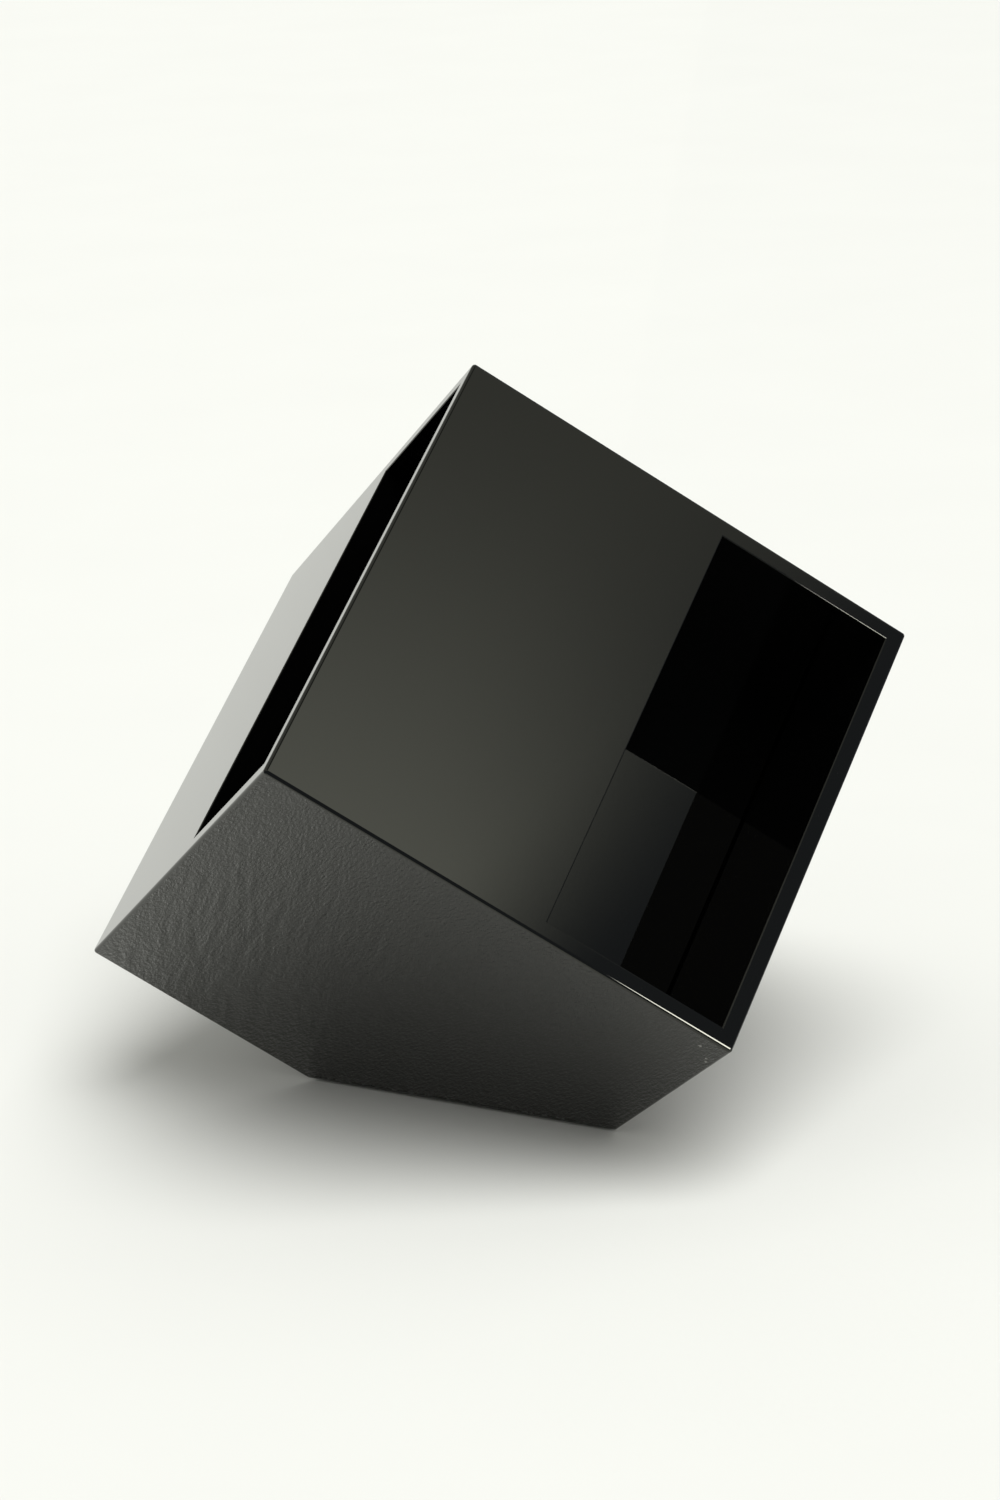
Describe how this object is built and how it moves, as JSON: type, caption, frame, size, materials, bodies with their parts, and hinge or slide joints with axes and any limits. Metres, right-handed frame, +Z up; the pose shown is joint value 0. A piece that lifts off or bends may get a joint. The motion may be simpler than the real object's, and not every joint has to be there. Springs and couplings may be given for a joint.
{
  "type": "magazine cube",
  "caption": "Hollow black lacquered cube balanced on a cut-off corner, open at the front and down one side into a compartment for magazines.",
  "frame": {"origin": "on the floor, at the centre of the triangular base, straight below the upper corner", "axes": "+Z up the cube's body diagonal, front face with the large opening towards -Y, slotted left face towards -X"},
  "size_m": [0.6338, 0.731, 0.6503],
  "materials": {
    "black_lacquer": "high gloss black lacquer on fibreboard",
    "black_primer": "matt black sealer on fibreboard",
    "felt": "needled black felt",
    "screw_steel": "zinc plated",
    "pine": "planed, unfinished",
    "beech": "fluted dowel, unfinished"
  },
  "bodies": {
    "root": {"top_panel": "black_lacquer", "lower_panel": "black_lacquer", "front_panel": "black_lacquer", "right_panel": "black_lacquer", "back_panel": "black_lacquer", "left_panel": "black_lacquer", "divider": "black_lacquer", "base_plate": "black_primer", "base_felt": "felt", "base_screws": "screw_steel", "right_cleat": "pine", "back_cleat": "pine", "lower_cleat": "pine", "front_top_dowels": "beech", "right_top_dowels": "beech", "back_top_dowels": "beech", "left_top_dowels": "beech", "divider_top_dowels": "beech", "front_lower_dowels": "beech", "right_lower_dowels": "beech", "back_lower_dowels": "beech", "left_lower_dowels": "beech", "divider_lower_dowels": "beech", "divider_left_dowels": "beech", "back_right_dowels": "beech", "back_left_dowels": "beech"}
  },
  "joints": []
}
